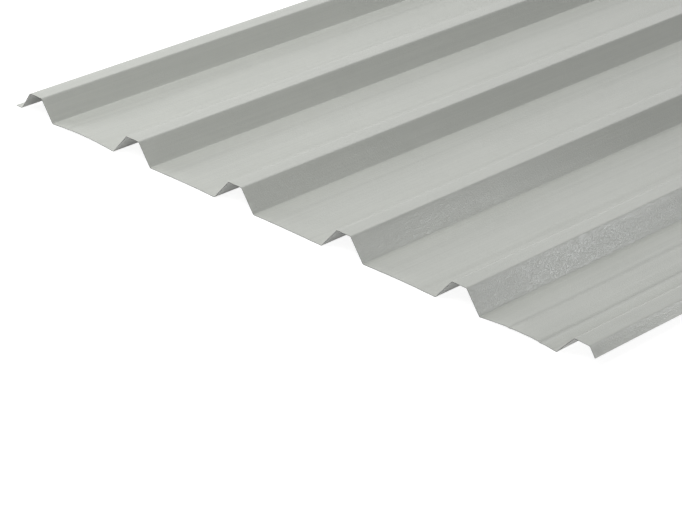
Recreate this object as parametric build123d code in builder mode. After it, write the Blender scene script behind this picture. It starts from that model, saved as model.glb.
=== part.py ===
import os
from math import hypot

from build123d import *

# A roll-formed box-profile sheet for roofs and walls, lying flat with its painted face up.
# X runs across the ribs, from the underlap edge to the overlap edge, Y runs along the ribs
# and Z is up. The origin is on the floor, under the middle of the sheet's outline.

# Driving dimensions, in millimetres
sheet_length = 2440.0  # stock length, cut square at both ends
gauge = 0.7  # steel with its paint
pitch = 200.0  # from the middle of one crown to the middle of the next
crown_count = 6
rib_depth = 32.0  # from a pan to a crown, on the same face
crown_flat = 24.0  # across a crown, between the lines of its bends
web_run = 25.0  # how far a web goes sideways on its way from pan to crown
bend_radius = 3.0  # inside of every rolled bend

# Underlap edge, which lies under the next sheet: a steeper web, then a flat lip
underlap_run = 16.0
lip_lift = 4.0  # the lip stays this far above the pans
lip_width = 13.0

# Overlap edge, which covers the next sheet's first rib: a short web with a free edge
overlap_run = 10.0
overlap_drop = 13.0

# Places across the sheet, from the middle of the first crown. The free edge is cut square
# to its web, so its painted corner stands out beyond the underside's.
outer_left = -(crown_flat / 2 + underlap_run + lip_width)
edge_overhang = gauge * overlap_drop / hypot(overlap_run, overlap_drop)
outer_right = pitch * (crown_count - 1) + crown_flat / 2 + overlap_run + edge_overhang
sheet_width = outer_right - outer_left
first_crown = -sheet_width / 2 - outer_left
crown_centres = [first_crown + pitch * number for number in range(crown_count)]

# The profile is drawn along its underside. A bend out of a pan has its inside on the
# painted face, and a bend over a crown has its inside on the underside, so the underside
# turns with the larger radius at a pan.
pan_bend = bend_radius + gauge
crown_bend = bend_radius

left_crown_edge = crown_centres[0] - crown_flat / 2
right_crown_edge = crown_centres[-1] + crown_flat / 2

corners = [
    (left_crown_edge - underlap_run - lip_width, lip_lift),
    (left_crown_edge - underlap_run, lip_lift),
]
radii = [pan_bend]
for centre in crown_centres:
    if centre != crown_centres[0]:
        corners.append((centre - crown_flat / 2 - web_run, 0))
        radii.append(pan_bend)
    corners.append((centre - crown_flat / 2, rib_depth))
    corners.append((centre + crown_flat / 2, rib_depth))
    radii += [crown_bend, crown_bend]
    if centre != crown_centres[-1]:
        corners.append((centre + crown_flat / 2 + web_run, 0))
        radii.append(pan_bend)
corners.append((right_crown_edge + overlap_run, rib_depth - overlap_drop))

# The sheet: one strip of steel, rolled to the profile and cut to length
with BuildPart() as corrugated_sheet:
    with BuildSketch(Plane.XZ.offset(-sheet_length / 2)):
        with BuildLine():
            FilletPolyline(*corners, radius=radii)
            offset(amount=gauge, side=Side.LEFT)
        make_face()
    extrude(amount=sheet_length)

corrugated_sheet.part.label = "corrugated_sheet"

os.makedirs("parts", exist_ok=True)
export_step(corrugated_sheet.part, "parts/corrugated_sheet.step")
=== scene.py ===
import math

import bpy
from mathutils import Matrix, Vector


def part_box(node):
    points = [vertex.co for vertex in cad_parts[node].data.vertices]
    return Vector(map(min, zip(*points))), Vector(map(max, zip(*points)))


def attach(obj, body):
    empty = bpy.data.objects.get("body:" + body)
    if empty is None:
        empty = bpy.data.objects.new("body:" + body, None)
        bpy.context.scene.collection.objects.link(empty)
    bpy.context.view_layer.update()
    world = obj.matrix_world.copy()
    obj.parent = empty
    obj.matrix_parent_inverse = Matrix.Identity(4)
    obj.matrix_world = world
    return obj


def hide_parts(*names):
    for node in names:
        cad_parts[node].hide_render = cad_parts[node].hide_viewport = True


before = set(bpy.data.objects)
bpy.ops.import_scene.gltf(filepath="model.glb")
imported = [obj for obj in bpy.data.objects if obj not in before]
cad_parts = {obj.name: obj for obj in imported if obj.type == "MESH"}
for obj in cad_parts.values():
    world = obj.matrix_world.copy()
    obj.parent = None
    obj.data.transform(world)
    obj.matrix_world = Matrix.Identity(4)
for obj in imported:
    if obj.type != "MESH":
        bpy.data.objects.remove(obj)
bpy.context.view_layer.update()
node = "corrugated_sheet"
boxLow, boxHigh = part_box(node)

scene = bpy.context.scene
scene.view_settings.view_transform = "Standard"


# Node trees. A Wire is one output socket, and sums on it add Math nodes to its tree.
def joins(operation, swapped=False):
    def method(self, other):
        pair = (other, self) if swapped else (self, other)
        return self.graph.node("ShaderNodeMath", {"operation": operation}, dict(enumerate(pair)))

    return method


class Wire:
    def __init__(self, graph, socket):
        self.graph, self.socket = graph, socket

    __add__ = __radd__ = joins("ADD")
    __mul__ = __rmul__ = joins("MULTIPLY")
    __sub__, __rsub__ = joins("SUBTRACT"), joins("SUBTRACT", True)
    __truediv__, __rtruediv__ = joins("DIVIDE"), joins("DIVIDE", True)
    __mod__ = joins("FLOORED_MODULO")
    __lt__, __gt__ = joins("LESS_THAN"), joins("GREATER_THAN")
    atLeast, atMost = joins("MAXIMUM"), joins("MINIMUM")

    def alone(self, operation):
        return self.graph.node("ShaderNodeMath", {"operation": operation}, {0: self})

    def __abs__(self):
        return self.alone("ABSOLUTE")

    def floor(self):
        return self.alone("FLOOR")

    def swap(self, other, mask):  # self where the mask is 0, other where it is 1
        return self + (other - self) * mask

    def ease(self, start, end, low=0.0, high=1.0):  # a soft step from low to high
        sizes = {"Value": self, "From Min": start, "From Max": end, "To Min": low, "To Max": high}
        return self.graph.node("ShaderNodeMapRange", {"interpolation_type": "SMOOTHSTEP"}, sizes)

    def out(self, name):  # another output of the same node
        return Wire(self.graph, self.socket.node.outputs[name])


class Graph:
    def __init__(self, tree):
        self.tree = tree

    def node(self, kind, settings={}, inputs={}, output=0):
        made = self.tree.nodes.new(kind)
        for name, value in settings.items():
            setattr(made, name, value)
        for key, value in inputs.items():
            self.feed(made.inputs[key], value)
        return Wire(self, made.outputs[output]) if made.outputs else made

    def feed(self, socket, value):
        if isinstance(value, Wire):
            self.tree.links.new(value.socket, socket)
        else:
            socket.default_value = value

    def vector(self, x, y, z):
        return self.node("ShaderNodeCombineXYZ", {}, {0: x, 1: y, 2: z})

    def noise(self, vector, scale, detail=2.0, roughness=0.5):
        inputs = {"Vector": vector, "Scale": scale, "Detail": detail, "Roughness": roughness}
        return self.node("ShaderNodeTexNoise", {}, inputs)


# The camera, at the photograph's angle. Sizes are in metres and degrees.
cameraPlace = {
    "spot": (2.28577, -3.82326, 1.65679),
    "azimuth": 39.919,
    "elevation": 26.063,
    "roll": 4.173,
    "focalPixels": 2830.34,
    "imageWidth": 682,
    "sensorWidth": 36,  # in millimetres
    "nearest": 0.05,
    "farthest": 60,
}


def makeCamera():
    data = bpy.data.cameras.new("camera")
    camera = bpy.data.objects.new("camera", data)
    scene.collection.objects.link(camera)
    data.sensor_width = cameraPlace["sensorWidth"]
    data.lens = cameraPlace["focalPixels"] / cameraPlace["imageWidth"] * data.sensor_width
    data.clip_start, data.clip_end = cameraPlace["nearest"], cameraPlace["farthest"]
    turn = Matrix.Rotation(math.radians(cameraPlace["azimuth"]), 4, "Z")
    tilt = Matrix.Rotation(math.radians(90 - cameraPlace["elevation"]), 4, "X")
    roll = Matrix.Rotation(math.radians(cameraPlace["roll"]), 4, "Z")
    camera.matrix_world = Matrix.Translation(cameraPlace["spot"]) @ turn @ tilt @ roll
    scene.camera = camera
    print("camera ready")


# The sheet's own sizes, in metres. Length and depth come from the frame's box.
sheet = {
    "Length": boxHigh[1] - boxLow[1],
    "Gauge": 0.0007,
    "Pitch": 0.2,
    "Crown Count": 6,
    "Crown Flat": 0.024,
    "Web Run": 0.025,
    "Bend Radius": 0.003,
    "Bend Steps": 6,  # of mesh lines round each bend
    "Underlap Run": 0.016,
    "Lip Lift": 0.004,  # of the underlap's lip above the feet
    "Lip Width": 0.013,
    "Overlap Run": 0.00997,
    "Overlap Drop": 0.013,
    "Pan Spacing": 0.0018,  # between the mesh's lines across a pan
    "Web Spacing": 0.005,
    "Spacing Slack": 0.2,  # part of a spacing that a stretch may be longer before it is cut again
    "Rows": 80,  # of mesh lines along the sheet
    "Pan Waviness": 0.0006,
    "Wave Width": 0.25,  # of the pans' waves
    "Wave Length": 0.385,
    "Wave Low": 0.4,  # noise that leaves a pan flat
    "Wave High": 0.75,  # noise that lifts it fully
    "Pan Shift": 9.0,  # how far apart in the noise two pans are
    "Crown Waviness": 0.0002,
    "Dip Length": 0.667,  # of the crowns' waves, which only go down
    "Dip Low": 0.3,
    "Dip High": 0.7,
    "Crown Shift": 7.0,
    "Pan Margin": 0.03,  # that stays flat beside each bend
    "End Reach": 0.16,  # how far along the sheet its ends spring up
    "Edge Sag": 0.0045,  # how far the last crown hangs below the others
    "Edge Slope": 0.05,  # its fall towards the free edge
    "Sag At End": 0.62,  # the part of the sag that is left at the front end
    "Sag Reach": 0.3,  # from that end to where the sag is full
    "Full Mark Depth": 0.0005,  # the depth of a groove at which its painted shade and polish are full
    "Groove Mark Start": 0.3,  # how far down a groove's flank the painted shade and polish begin
    "Mark Strength": 1.0,
    "Weld Distance": 0.00001,  # between points that become one
    "Sharp Angle": 0.7,  # in radians, past which an edge isn't shaded smooth
    "Seed": 4.0,
    "Dip Seed": 9.0,
}
# For each pan: the height of its middle above its feet, and what a cut end adds to it
panRises = [(0.0006, 0.0028), (0.0008, 0.0002), (0.0004, 0.0), (0.0008, 0.0004), (0.0026, 0.0012)]
# Marks of the rollers: the pan, the distance from its crown, the widths of the left and right
# flanks, and the height, which is below zero for a groove
rollerMarks = [
    (0, 0.068, 0.008, 0.010, -0.00018),
    (0, 0.1335, 0.004, 0.007, -0.00014),
    (1, 0.067, 0.007, 0.010, -0.00019),
    (1, 0.137, 0.005, 0.009, -0.00013),
    (2, 0.068, 0.007, 0.010, -0.00017),
    (2, 0.139, 0.005, 0.009, -0.00010),
    (3, 0.067, 0.007, 0.010, -0.00017),
    (3, 0.0865, 0.004, 0.006, -0.00014),
    (3, 0.139, 0.008, 0.012, -0.00025),
    (4, 0.080, 0.012, 0.006, 0.00020),
    (4, 0.086, 0.003, 0.008, -0.00050),
    (4, 0.119, 0.005, 0.014, 0.00024),
    (4, 0.136, 0.003, 0.008, -0.00082),
    (4, 0.156, 0.004, 0.005, -0.00022),
]
sheet["Rib Depth"] = boxHigh[2] - boxLow[2] - sheet["Gauge"]
sheet["First Crown"] = boxLow[0] + sheet["Lip Width"] + sheet["Underlap Run"] + sheet["Crown Flat"] / 2


def sheetTree(finishes):
    tree = bpy.data.node_groups.new("rolledSheet", "GeometryNodeTree")
    graph = Graph(tree)
    for name, value in sheet.items():
        kind = "NodeSocketInt" if isinstance(value, int) else "NodeSocketFloat"
        tree.interface.new_socket(name, in_out="INPUT", socket_type=kind).default_value = value
    tree.interface.new_socket("Sheet", in_out="OUTPUT", socket_type="NodeSocketGeometry")
    sizes = graph.node("NodeGroupInput")
    size = {name: sizes.out(name) for name in sheet}
    strip = profileCurve(graph, size)
    surface = rolledSurface(graph, size, strip)
    surface = relief(graph, size, surface)
    solid = finished(graph, thickened(graph, size, surface), finishes)
    tree.links.new(solid.socket, graph.node("NodeGroupOutput").inputs[0])
    return tree


# The underside's outline across the sheet: lip, ribs with their webs, and the free edge
def profileCurve(graph, size):
    index = graph.node("GeometryNodeInputIndex")
    crowns = size["Crown Count"]
    halfCrown = size["Crown Flat"] / 2
    ribCorners = 4  # foot, top, top, foot
    corner = index - 1
    crown = (corner / ribCorners).floor()
    fromTop = corner % ribCorners - 1.5  # -1.5 at the left foot, 1.5 at the right
    foot = abs(fromTop) > 1
    side = (fromTop > 0) * 2 - 1
    x = size["First Crown"] + size["Pitch"] * crown + side * (halfCrown + foot * size["Web Run"])
    z = size["Rib Depth"] * (1 - foot)
    lipX = size["First Crown"] - halfCrown - size["Underlap Run"] - (index < 0.5) * size["Lip Width"]
    x, z = x.swap(lipX, index < 1.5), z.swap(size["Lip Lift"], index < 1.5)
    lastCrown = size["First Crown"] + size["Pitch"] * (crowns - 1)
    isFree = index > crowns * ribCorners - 0.5
    x = x.swap(lastCrown + halfCrown + size["Overlap Run"], isFree)
    z = z.swap(size["Rib Depth"] - size["Overlap Drop"], isFree)
    line = graph.node("GeometryNodeMeshLine", {}, {"Count": crowns * ribCorners + 1})
    line = graph.node("GeometryNodeSetPosition", {}, {0: line, "Position": graph.vector(x, 0, z)})
    curve = graph.node("GeometryNodeMeshToCurve", {}, {0: line})
    radius = size["Bend Radius"] + size["Gauge"] * (foot.atLeast(index < 1.5))
    bends = {"Curve": curve, "Count": size["Bend Steps"], "Radius": radius, "Limit Radius": True}
    curve = graph.node("GeometryNodeFilletCurve", {"mode": "POLY"}, bends)
    here = graph.node("GeometryNodeInputPosition")
    ahead = graph.node("GeometryNodeFieldAtIndex", {"data_type": "FLOAT_VECTOR"},
                       {"Index": index + 1, "Value": here})
    step = graph.node("ShaderNodeVectorMath", {"operation": "DISTANCE"}, {0: here, 1: ahead}, 1)
    height = graph.node("ShaderNodeSeparateXYZ", {}, {0: here}).out("Z")
    spacing = size["Web Spacing"].swap(size["Pan Spacing"], height < size["Gauge"] / 2)
    # The roller marks need finer lines in the pans than the webs do
    cuts = (step / spacing - size["Spacing Slack"]).floor().atLeast(0)
    return graph.node("GeometryNodeSubdivideCurve", {}, {"Curve": curve, "Cuts": cuts})


# A grid whose columns take their places from the outline and whose rows run along the sheet
def rolledSurface(graph, size, strip):
    count = graph.node("GeometryNodeAttributeDomainSize", {"component": "CURVE"}, {0: strip})
    count = count.out("Point Count")
    inputs = {"Size X": count - 1, "Size Y": 1, "Vertices X": count, "Vertices Y": size["Rows"]}
    grid = graph.node("GeometryNodeMeshGrid", {}, inputs)
    here = graph.node("GeometryNodeInputPosition")
    place = graph.node("ShaderNodeSeparateXYZ", {}, {0: here})
    column = (place + (count - 1) / 2 + 0.5).floor()  # the nearest, from 0 at the left
    found = graph.node("GeometryNodeSampleIndex", {"data_type": "FLOAT_VECTOR"},
                       {"Geometry": strip, "Value": here, "Index": column})
    section = graph.node("ShaderNodeSeparateXYZ", {}, {0: found})
    spot = graph.vector(section, place.out("Y") * size["Length"], section.out("Z"))
    return graph.node("GeometryNodeSetPosition", {}, {0: grid, "Position": spot})


# Waviness of thin sheet, pans that bulge a little, the rollers' marks and the sagging free edge
def relief(graph, size, surface):
    here = graph.node("ShaderNodeSeparateXYZ", {}, {0: graph.node("GeometryNodeInputPosition")})
    x, y, z = here, here.out("Y"), here.out("Z")
    across = x - size["First Crown"]
    crown = (across / size["Pitch"]).floor()
    place = across - crown * size["Pitch"]
    foot = size["Crown Flat"] / 2 + size["Web Run"]
    inPan = place.atMost(size["Pitch"] - place) - foot - size["Bend Radius"]
    inPan = inPan.ease(0, size["Pan Margin"])
    inPan = inPan * (across > 0) * (across < size["Pitch"] * (size["Crown Count"] - 1))
    ownPart = crown * size["Pan Shift"] + across / size["Wave Width"]
    waves = graph.noise(graph.vector(ownPart, y / size["Wave Length"], size["Seed"]), 1.0)
    lift = inPan * waves.ease(size["Wave Low"], size["Wave High"]) * size["Pan Waviness"]
    lift = lift + panArch(size, place, crown, foot, y)
    marks, grooveShadeAndPolish = rolledMarks(graph, size, across)
    rib = (across / size["Pitch"] + 0.5).floor()
    ownPart = rib * size["Crown Shift"]
    dips = graph.noise(graph.vector(ownPart, y / size["Dip Length"], size["Dip Seed"]), 1.0)
    dips = dips.ease(size["Dip Low"], size["Dip High"])
    drop = z / size["Rib Depth"] * dips * size["Crown Waviness"]
    drop = drop + edgeSag(size, across, foot, y)
    height = (lift + marks - drop + z).atLeast(0)  # no lower than the feet
    surface = graph.node("GeometryNodeSetPosition", {},
                         {0: surface, "Offset": graph.vector(0, 0, height - z)})
    return graph.node("GeometryNodeStoreNamedAttribute", {},
                      {0: surface, "Name": "rollerShadeAndPolish", "Value": grooveShadeAndPolish})


def panArch(size, place, crown, foot, y):  # a parabola from foot to foot
    reach = ((place - foot) / (size["Pitch"] - foot * 2)).atLeast(0).atMost(1)
    ends = (size["Length"] / 2 - abs(y)).ease(size["End Reach"], 0)
    rise = y * 0
    for pan, (middle, atEnd) in enumerate(panRises):
        rise = rise + (abs(crown - pan) < 0.5) * (ends * atEnd + middle)
    return reach * (1 - reach) * 4 * rise


def edgeSag(size, across, foot, y):  # grows over the last left web, then follows the slope
    past = across - size["Pitch"] * (size["Crown Count"] - 1) + foot
    web = (past / size["Web Run"]).atLeast(0).atMost(1)
    along = (y + size["Length"] / 2).ease(0, size["Sag Reach"], size["Sag At End"], 1)
    slope = (past - size["Web Run"]).atLeast(0) * size["Edge Slope"]
    return web * along * size["Edge Sag"] + slope


def rolledMarks(graph, size, across):
    height, grooveShadeAndPolish = across * 0, across * 0
    for pan, place, left, right, rise in rollerMarks:
        past = across - size["Pitch"] * pan - place
        nearness = (past / left + 1).atMost(1 - past / right)
        height = height + nearness.ease(0, 1, 0, rise)
        # Each groove's mask darkens it with painted shade and lowers its roughness
        grooveShadeAndPolish = grooveShadeAndPolish + nearness.ease(size["Groove Mark Start"], 1) * max(-rise, 0) / size["Full Mark Depth"]
    return height * size["Mark Strength"], grooveShadeAndPolish * size["Mark Strength"]


# The surface gets its thickness, and each face the number of its side
sides = {"painted": 0, "backCoat": 1, "cutEdge": 2}


def thickened(graph, size, surface):
    skin = graph.node("GeometryNodeExtrudeMesh", {},
                      {0: surface, "Offset Scale": size["Gauge"], "Individual": False})
    top, rim = skin.out("Top"), skin.out("Side")
    skin = graph.node("GeometryNodeStoreNamedAttribute", {"domain": "FACE"},
                      {0: skin, "Name": "side", "Value": rim * sides["cutEdge"]})
    skin = graph.node("GeometryNodeStoreNamedAttribute", {"domain": "POINT"},
                      {0: skin, "Name": "throughSheet", "Value": top})
    under = graph.node("GeometryNodeFlipFaces", {}, {0: surface})
    under = graph.node("GeometryNodeStoreNamedAttribute", {"domain": "FACE"},
                       {0: under, "Name": "side", "Value": sides["backCoat"]})
    both = graph.node("GeometryNodeJoinGeometry")
    for part in (skin, under):
        graph.tree.links.new(part.socket, both.socket.node.inputs[0])
    closed = graph.node("GeometryNodeMergeByDistance", {}, {0: both, "Distance": size["Weld Distance"]})
    smooth = graph.node("GeometryNodeSetShadeSmooth", {}, {0: closed})
    bend = graph.node("GeometryNodeInputMeshEdgeAngle")
    return graph.node("GeometryNodeSetShadeSmooth", {"domain": "EDGE"},
                      {0: smooth, "Selection": bend > size["Sharp Angle"], "Shade Smooth": False})


def finished(graph, solid, finishes):
    side = graph.node("GeometryNodeInputNamedAttribute", {}, {"Name": "side"})
    solid = graph.node("GeometryNodeRealizeInstances", {}, {0: solid})
    for name, number in sides.items():
        solid = graph.node("GeometryNodeSetMaterial", {},
                           {0: solid, "Selection": side > number - 0.5, "Material": finishes[name]})
    return solid


def plainCopy(worker, name):
    depsgraph = bpy.context.evaluated_depsgraph_get()
    mesh = bpy.data.meshes.new_from_object(worker.evaluated_get(depsgraph))
    mesh.name = name
    piece = bpy.data.objects.new(name, mesh)
    scene.collection.objects.link(piece)
    bpy.data.objects.remove(worker)
    return piece


def makeSheet(finishes):
    worker = bpy.data.objects.new("rolling", bpy.data.meshes.new("rolling"))
    scene.collection.objects.link(worker)
    modifier = worker.modifiers.new("rolling", "NODES")
    modifier.node_group = sheetTree(finishes)
    for item in modifier.node_group.interface.items_tree:
        if item.in_out == "INPUT":
            modifier[item.identifier] = sheet[item.name]
    piece = plainCopy(worker, "sheet")
    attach(piece, "root")
    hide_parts(node)
    triangles = sum(len(face.vertices) - 2 for face in piece.data.polygons)
    print("sheet ready,", triangles, "triangles")


# Finishes. Sizes are in metres, and the grain's slopes come from its depth over its size.
def material(name):
    made = bpy.data.materials.new(name)
    made.use_nodes = True
    made.node_tree.nodes.clear()
    return made, Graph(made.node_tree)


def finishMaterial(graph, surface):
    output = graph.node("ShaderNodeOutputMaterial")
    graph.tree.links.new(surface.socket, output.inputs["Surface"])


def blend(graph, first, second, amount):  # the first colour at amount 0, the second at 1
    inputs = {"Factor": amount, "A": first, "B": second}
    made = graph.node("ShaderNodeMix", {"data_type": "RGBA"})
    node = made.socket.node
    # The node has sockets of these names for every type of data, and one set is enabled
    for socket in node.inputs:
        if socket.enabled and socket.name in inputs:
            graph.feed(socket, inputs[socket.name])
    return Wire(graph, next(socket for socket in node.outputs if socket.enabled))


def spotOn(graph):  # the place on the sheet, whole and as x, y and z
    spot = graph.node("ShaderNodeTexCoord").out("Object")
    parts = graph.node("ShaderNodeSeparateXYZ", {}, {0: spot})
    return spot, parts, parts.out("Y"), parts.out("Z")


# Noise drawn out along the sheet. Each shift gives another part of it.
def stretched(graph, x, y, z, width, length, shift=0.0):
    place = graph.vector(x / width + shift, y / length, z / width)
    return graph.noise(place, 1.0, detail=3.0, roughness=0.6)


paint = {
    "colour": (0.572, 0.587, 0.546, 1),
    "shade": (0.542, 0.558, 0.519, 1),  # where the paint lies a little thinner
    "bend": (0.606, 0.617, 0.586, 1),  # painted highlight along the crowns' folds
    "grooveShade": (0.465, 0.476, 0.444, 1),  # painted shade in the rollers' grooves
    "roughness": 0.19,
    "roughnessSpread": 0.10,
    "grain": 0.0019,  # one cell of the embossed grain
    "grainDepth": 0.00024,
    "grainSoftness": 0.35,
    "grainBend": 0.0011,  # how far the cells are pulled out of shape
    "grainBendSize": 0.0038,
    "peel": 0.007,  # one wave of the orange peel
    "peelDepth": 0.00012,
    "streak": 0.0035,
    "streakLength": 0.35,
    "streakDepth": 0.00003,
    "cloud": 0.11,  # one soft patch of tone
    "streakShare": 0.65,  # of the tone, and the clouds have the rest
    "toneLimits": (0.36, 0.64),  # noise at which the colour and the shade are pure
    "fine": 0.0011,  # one speck of uneven gloss
    "bendWidth": 0.0028,
    "bendAmount": 0.7,
    "bendLeast": 0.4,  # what is left of it between the streaks
    "bendLimits": (0.3, 0.7),
    "bendHeight": 0.9,  # the part of the rib's depth above which a fold's painted highlight shows
    "grooveShadeAmount": 0.6,
    "wornGloss": 0.04,  # how much less rough the marks are
}


def paintMaterial():
    made, graph = material("paint")
    spot, x, y, z = spotOn(graph)
    streak = stretched(graph, x, y, z, paint["streak"], paint["streakLength"])
    cloud = graph.noise(spot, 1 / paint["cloud"])
    grooveShadeAndPolish = graph.node("ShaderNodeAttribute", {"attribute_name": "rollerShadeAndPolish"}).out("Fac")
    # Folds are the long edges of each crown's top, where a highlight is painted
    half = sheet["Pitch"] / 2
    fromCrown = abs((x - sheet["First Crown"] + half) % sheet["Pitch"] - half)
    foldHighlight = abs(fromCrown - sheet["Crown Flat"] / 2).ease(paint["bendWidth"], 0)
    foldHighlight = foldHighlight * (z > sheet["Rib Depth"] * paint["bendHeight"])
    foldHighlight = foldHighlight * streak.ease(*paint["bendLimits"], paint["bendLeast"], 1.0)
    share = paint["streakShare"]
    tone = (streak * share + cloud * (1 - share)).ease(*paint["toneLimits"])
    colour = blend(graph, paint["colour"], paint["shade"], tone)
    colour = blend(graph, colour, paint["bend"], foldHighlight * paint["bendAmount"])
    # The rollers' grooves get painted shade, deeper grooves more
    colour = blend(graph, colour, paint["grooveShade"], grooveShadeAndPolish.atMost(1) * paint["grooveShadeAmount"])
    fine = graph.noise(spot, 1 / paint["fine"])
    roughness = (streak + fine - 1) * paint["roughnessSpread"] + paint["roughness"]
    roughness = roughness - grooveShadeAndPolish * paint["wornGloss"]
    surface = graph.node("ShaderNodeBsdfPrincipled", {}, {
        "Base Color": colour, "Roughness": roughness, "Normal": embossed(graph, spot, streak)})
    finishMaterial(graph, surface)
    return made


def embossed(graph, spot, streak):
    pull = {"Vector": spot, "Scale": 1 / paint["grainBendSize"]}
    bent = graph.node("ShaderNodeTexNoise", {}, pull, "Color")
    bent = graph.node("ShaderNodeVectorMath", {"operation": "MULTIPLY_ADD"},
                      {0: bent, 1: (paint["grainBend"],) * 3, 2: spot})
    sizes = {"Vector": bent, "Scale": 1 / paint["grain"], "Smoothness": paint["grainSoftness"]}
    cells = graph.node("ShaderNodeTexVoronoi", {"feature": "SMOOTH_F1"}, sizes)
    waves = graph.noise(spot, 1 / paint["peel"], detail=1.0)
    bump = graph.node("ShaderNodeBump", {}, {
        "Height": waves, "Distance": paint["peelDepth"], "Strength": 1.0})
    bump = graph.node("ShaderNodeBump", {}, {
        "Height": streak, "Distance": paint["streakDepth"], "Strength": 1.0, "Normal": bump})
    return graph.node("ShaderNodeBump", {}, {
        "Height": cells, "Distance": paint["grainDepth"], "Strength": 1.0, "Normal": bump})


backCoat = {
    "colour": (0.56, 0.57, 0.54, 1),
    "shade": (0.47, 0.48, 0.455, 1),
    "scuff": (0.66, 0.665, 0.65, 1),
    "roughness": 0.38,
    "roughnessSpread": 0.16,
    "line": 0.0016,  # fine lines of the coating roller
    "lineLength": 0.22,
    "lineDepth": 0.00004,
    "band": 0.022,  # broad stripes of the same roller
    "bandLength": 1.1,
    "bandShift": 9.0,
    "toneLimits": (0.35, 0.65),
    "scuffWidth": 0.006,
    "scuffLength": 0.9,
    "scuffShift": 31.0,
    "scuffLimits": (0.62, 0.72),
    "scuffBreak": 0.014,
    "breakLimits": (0.45, 0.6),
    "scuffAmount": 0.6,
    "spatter": 0.0030,
    "spatterDepth": 0.00008,
}


def backCoatMaterial():
    made, graph = material("backCoat")
    spot, x, y, z = spotOn(graph)
    lines = stretched(graph, x, y, z, backCoat["line"], backCoat["lineLength"])
    bands = stretched(graph, x, y, z, backCoat["band"], backCoat["bandLength"], backCoat["bandShift"])
    tone = ((lines + bands) * 0.5).ease(*backCoat["toneLimits"])
    colour = blend(graph, backCoat["colour"], backCoat["shade"], tone)
    width, length, shift = backCoat["scuffWidth"], backCoat["scuffLength"], backCoat["scuffShift"]
    scuffs = stretched(graph, x, y, z, width, length, shift).ease(*backCoat["scuffLimits"])
    broken = graph.noise(spot, 1 / backCoat["scuffBreak"], detail=4.0).ease(*backCoat["breakLimits"])
    scuffs = scuffs * broken * backCoat["scuffAmount"]
    colour = blend(graph, colour, backCoat["scuff"], scuffs)
    pebble = graph.noise(spot, 1 / backCoat["spatter"])
    bump = graph.node("ShaderNodeBump", {}, {
        "Height": pebble, "Distance": backCoat["spatterDepth"], "Strength": 1.0})
    bump = graph.node("ShaderNodeBump", {}, {
        "Height": lines, "Distance": backCoat["lineDepth"], "Strength": 1.0, "Normal": bump})
    roughness = lines * backCoat["roughnessSpread"] + backCoat["roughness"]
    surface = graph.node("ShaderNodeBsdfPrincipled", {}, {
        "Base Color": colour, "Roughness": roughness, "Normal": bump})
    finishMaterial(graph, surface)
    return made


# The cut edge's bands are real, but their colours are darker than bare steel and paint: painted shade,
# so the edge shows as a dark line
cutEdge = {
    "sheared": (0.12, 0.122, 0.122, 1),  # the smooth band that the blade leaves
    "torn": (0.06, 0.061, 0.061, 1),  # the dull band below it
    "film": (0.32, 0.328, 0.308, 1),  # paint drawn over the top edge
    "tear": 0.42,  # share of the gauge that is torn
    "tearSpread": 0.08,
    "filmEdge": 0.90,  # where the paint begins, as a share of the gauge
    "ragged": 0.00067,  # one tooth of the torn band
    "raggedReach": 0.35,
    "raggedDepth": 0.0002,
    "metallic": 0.5,
    "roughness": 0.34,
    "tornRoughness": 0.64,
}


def cutEdgeMaterial():
    made, graph = material("cutEdge")
    spot = graph.node("ShaderNodeTexCoord").out("Object")
    through = graph.node("ShaderNodeAttribute", {"attribute_name": "throughSheet"}).out("Fac")
    tear, spread, film = cutEdge["tear"], cutEdge["tearSpread"], cutEdge["filmEdge"]
    ragged = graph.noise(spot, 1 / cutEdge["ragged"], detail=3.0, roughness=0.7)
    torn = (ragged - 0.5) * cutEdge["raggedReach"] + through
    torn = torn.ease(tear + spread, tear - spread)
    painted = (ragged * spread + through).ease(film, film + spread)
    # Sheared, torn and painted bands, all darkened with painted shade
    colour = blend(graph, cutEdge["sheared"], cutEdge["torn"], torn)
    colour = blend(graph, colour, cutEdge["film"], painted)
    bump = graph.node("ShaderNodeBump", {}, {
        "Height": ragged * torn, "Distance": cutEdge["raggedDepth"], "Strength": 1.0})
    surface = graph.node("ShaderNodeBsdfPrincipled", {}, {
        "Base Color": colour, "Metallic": (1 - painted) * cutEdge["metallic"], "Normal": bump,
        "Roughness": torn.ease(0, 1, cutEdge["roughness"], cutEdge["tornRoughness"])})
    finishMaterial(graph, surface)
    return made


# The studio
studio = {
    "worldStrength": 0.15,  # of the light it gives, but it looks white
    "floorSize": 30.0,
    "floorDepth": 0.0003,  # below the sheet's feet
    "floorColour": 0.9,
    "floorShown": 0.4,  # its colour where it is looked at, with the glow added
    "floorGlow": 0.9,
}
white, coolWhite = (1, 1, 1), (0.955, 0.97, 1)
lamps = {
    # name: place, point it looks at, width and height, spread in degrees, watts, colour
    "leftBox": ((-1.591, -0.62, 2.30), (-0.591, -0.72, 0), (1.2, 1.2), 180, 36.8, white),
    "frontBox": ((0.209, -2.12, 1.80), (0.009, -1.12, 0), (1.0, 1.0), 180, 12.8, white),
    "lowLamp": ((-1.741, -1.72, 0.56), (-0.441, -1.02, 0), (0.5, 0.5), 180, 9.0, white),
    "rimLamp": ((1.17, 0.22, 0.616), (0.329, -0.92, 0.016), (0.22, 0.22), 180, 1.3, coolWhite),
    "sideCard": ((0.80, -0.75, 0.022), (0.53, -0.75, 0.018), (0.9, 0.03), 180, 0.42, white),
    "glintLamp": ((0.765, -0.443, 0.335), (0.329, -1.06, 0.016), (0.45, 0.12), 44, 0.03, coolWhite),
}


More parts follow.
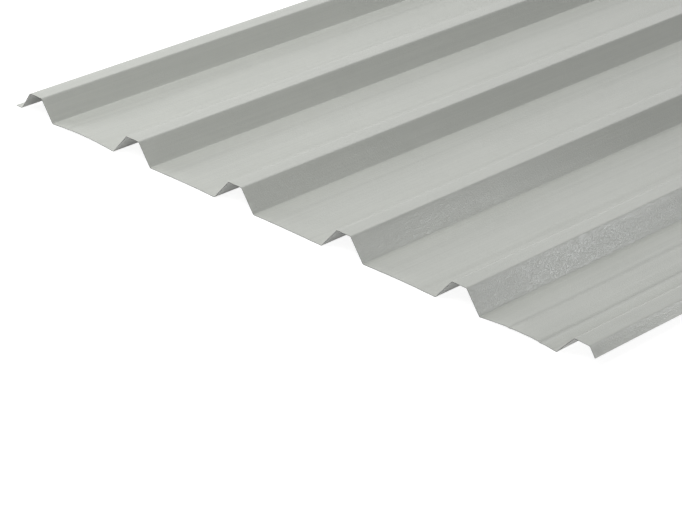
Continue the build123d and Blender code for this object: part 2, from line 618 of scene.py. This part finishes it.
def makeLamps():
    for name, (place, target, (width, height), spread, watts, colour) in lamps.items():
        data = bpy.data.lights.new(name, "AREA")
        data.shape, data.size, data.size_y = "RECTANGLE", width, height
        data.spread, data.energy, data.color = math.radians(spread), watts, colour
        lamp = bpy.data.objects.new(name, data)
        scene.collection.objects.link(lamp)
        lamp.location = place
        aim = Vector(target) - Vector(place)
        lamp.rotation_euler = aim.to_track_quat("-Z", "Y").to_euler()
        lamp.visible_camera = False
    print("lamps ready")


def seenDirectly(graph):  # 1 where the eye or a reflection looks at it, 0 for the light it gives
    path = graph.node("ShaderNodeLightPath")
    shown = path.out("Is Camera Ray").atLeast(path.out("Is Glossy Ray"))
    return shown.atLeast(path.out("Is Transmission Ray"))


def makeWorld():
    world = bpy.data.worlds.new("studio")
    world.use_nodes = True
    world.node_tree.nodes.clear()
    graph = Graph(world.node_tree)
    shown = seenDirectly(graph)
    glow = graph.node("ShaderNodeBackground", {}, {
        "Color": (1, 1, 1, 1), "Strength": shown.ease(0, 1, studio["worldStrength"], 1.0)})
    output = graph.node("ShaderNodeOutputWorld")
    graph.tree.links.new(glow.socket, output.inputs["Surface"])
    scene.world = world
    print("backdrop ready")


def makeFloor():
    made, graph = material("floor")
    shown = seenDirectly(graph)
    grey = shown.ease(0, 1, studio["floorColour"], studio["floorShown"])
    diffuse = graph.node("ShaderNodeBsdfDiffuse", {}, {"Color": grey})
    glow = graph.node("ShaderNodeEmission", {}, {
        "Color": (1, 1, 1, 1), "Strength": shown * studio["floorGlow"]})
    both = graph.node("ShaderNodeAddShader", {}, {0: diffuse, 1: glow})
    finishMaterial(graph, both)
    half, level = studio["floorSize"] / 2, -studio["floorDepth"]
    mesh = bpy.data.meshes.new("floor")
    corners = [(-half, -half, level), (half, -half, level), (half, half, level), (-half, half, level)]
    mesh.from_pydata(corners, [], [(0, 1, 2, 3)])
    floor = bpy.data.objects.new("floor", mesh)
    scene.collection.objects.link(floor)
    mesh.materials.append(made)
    print("floor ready")


makeCamera()
makeSheet({"painted": paintMaterial(), "backCoat": backCoatMaterial(), "cutEdge": cutEdgeMaterial()})
makeLamps()
makeWorld()
makeFloor()
